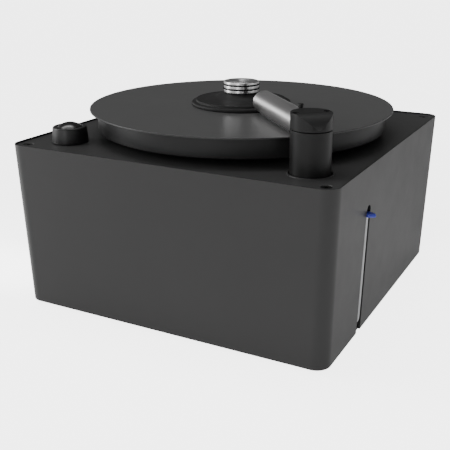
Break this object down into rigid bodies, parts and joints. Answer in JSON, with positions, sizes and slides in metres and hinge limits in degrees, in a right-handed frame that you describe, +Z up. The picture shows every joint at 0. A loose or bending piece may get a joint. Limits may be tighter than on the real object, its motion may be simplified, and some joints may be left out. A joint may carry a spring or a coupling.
{
  "type": "record cleaning machine",
  "caption": "Vacuum record cleaning machine: square case, driven platter with screw clamp, swivelling suction arm, control knob and drain hose.",
  "frame": {"origin": "the platter's axis, on the plane that the four feet stand on; the bounding box's middle lies 2.3 mm to the right of it, because the drain plug stands out of the right wall", "axes": "+Z up along the platter's axis, -Y towards the front face, +X towards the right wall with the hose slot"},
  "size_m": [0.326, 0.322, 0.212],
  "materials": {
    "case_paint": "fine-textured anthracite powder coat",
    "plate_black": "satin black",
    "screw_black": "black oxide",
    "steel": "plain machined",
    "platter_black": "black anodised, satin",
    "disc_black": "fine concentric turning, satin",
    "aluminium": "fine brushed",
    "black_anodised": "black anodised, satin",
    "black_rubber": "matte",
    "black_plastic": "satin moulded",
    "gloss_black": "polished",
    "hose_clear": "translucent whitish tubing",
    "blue_plastic": "glossy blue",
    "tank_white": "natural polyethylene",
    "brass": "machined",
    "gear_white": "moulded acetal",
    "pads_velvet": "short black pile",
    "felt": "felt",
    "board_green": "solder mask",
    "motor_steel": "zinc plated"
  },
  "bodies": {
    "chassis": {"case_shell": "case_paint", "top_plate": "plate_black", "top_plate_screws": "screw_black", "corner_blocks": "aluminium", "base_tray": "plate_black", "base_screws": "screw_black", "rubber_feet": "black_rubber", "foot_screws": "steel", "exhaust_grille": "black_plastic", "mains_inlet": "black_plastic", "inlet_pins": "brass", "waste_tank": "tank_white", "tank_lid": "tank_white", "drain_hose": "hose_clear", "hose_channel": "black_plastic", "suction_hose": "black_rubber", "vacuum_duct": "black_plastic", "vacuum_mount_ring": "black_rubber", "vacuum_motor_housing": "motor_steel", "fan_housing": "motor_steel", "gearbox_housing": "aluminium", "gearbox_cover": "aluminium", "gearbox_screws": "screw_black", "gear_motor": "motor_steel", "platter_bearing": "brass", "rotary_switch_body": "black_plastic", "switch_nut": "brass", "control_board": "board_green", "board_standoffs": "brass", "board_parts": "black_plastic", "arm_bearing_housing": "aluminium", "arm_bearing_bush": "brass", "arm_lift_spring": "steel"},
    "platter": {"drive_shaft": "steel", "output_gear": "gear_white", "platter_hub": "aluminium", "hub_screws": "screw_black", "platter": "platter_black", "platter_top_disc": "disc_black"},
    "layshaft": {"layshaft_gear": "gear_white"},
    "motor_rotor": {"motor_pinion": "brass"},
    "vacuum_rotor": {"vacuum_impeller": "aluminium"},
    "clamp": {"clamp_base": "black_anodised", "clamp_pad": "felt"},
    "clamp_knob": {"clamp_knob": "aluminium", "clamp_ring": "steel", "clamp_orings": "black_rubber"},
    "arm_lift": {"arm_lift_sleeve": "steel"},
    "arm": {"arm_post": "black_anodised", "arm_cap": "black_anodised", "arm_cap_screws": "screw_black", "tube_spigot": "black_plastic", "arm_tube": "aluminium", "arm_tube_plug": "black_plastic", "arm_pads": "pads_velvet", "arm_lock_screw": "screw_black"},
    "control_knob": {"control_knob": "black_plastic", "knob_insert": "gloss_black", "switch_shaft": "steel"},
    "drain_plug": {"drain_plug": "blue_plastic"}
  },
  "joints": [
    {"name": "platter_spin", "type": "hinge", "parent": "chassis", "child": "platter", "pos_m": [0, 0, 0.16], "axis": [0, 0, 1], "continuous": true},
    {"name": "layshaft_spin", "type": "hinge", "parent": "chassis", "child": "layshaft", "pos_m": [-0.03019, -0.009, 0.14], "axis": [0, 0, 1], "continuous": true},
    {"name": "motor_spin", "type": "hinge", "parent": "chassis", "child": "motor_rotor", "pos_m": [-0.05539, -0.009, 0.13], "axis": [0, 0, 1], "continuous": true},
    {"name": "vacuum_spin", "type": "hinge", "parent": "chassis", "child": "vacuum_rotor", "pos_m": [0.08, 0.078, 0.06], "axis": [0, 0, 1], "continuous": true},
    {"name": "clamp_lift", "type": "slide", "parent": "platter", "child": "clamp", "axis": [0, 0, 1], "range_m": [0, 0.03]},
    {"name": "clamp_knob_turn", "type": "hinge", "parent": "clamp", "child": "clamp_knob", "pos_m": [0, 0, 0.2], "axis": [0, 0, 1], "range_deg": [0, 360]},
    {"name": "arm_lift_slide", "type": "slide", "parent": "chassis", "child": "arm_lift", "axis": [0, 0, 1], "range_m": [0, 0.003], "stiffness_N_per_m": 300, "springref_m": 0.006, "deforming": ["arm_lift_spring"]},
    {"name": "arm_swing", "type": "hinge", "parent": "arm_lift", "child": "arm", "pos_m": [0.1225, -0.118, 0.19], "axis": [0, 0, 1], "range_deg": [-90, 15]},
    {"name": "control_knob_turn", "type": "hinge", "parent": "chassis", "child": "control_knob", "pos_m": [-0.12, -0.1215, 0.165], "axis": [0, 0, 1], "range_deg": [-60, 60]},
    {"name": "drain_plug_pull", "type": "slide", "parent": "chassis", "child": "drain_plug", "axis": [0.0455, 0, 0.999], "range_m": [0, 0.004]}
  ],
  "couplings": [
    {"joint": "layshaft_spin", "follows": "platter_spin", "ratio": -4},
    {"joint": "motor_spin", "follows": "platter_spin", "ratio": 12}
  ]
}
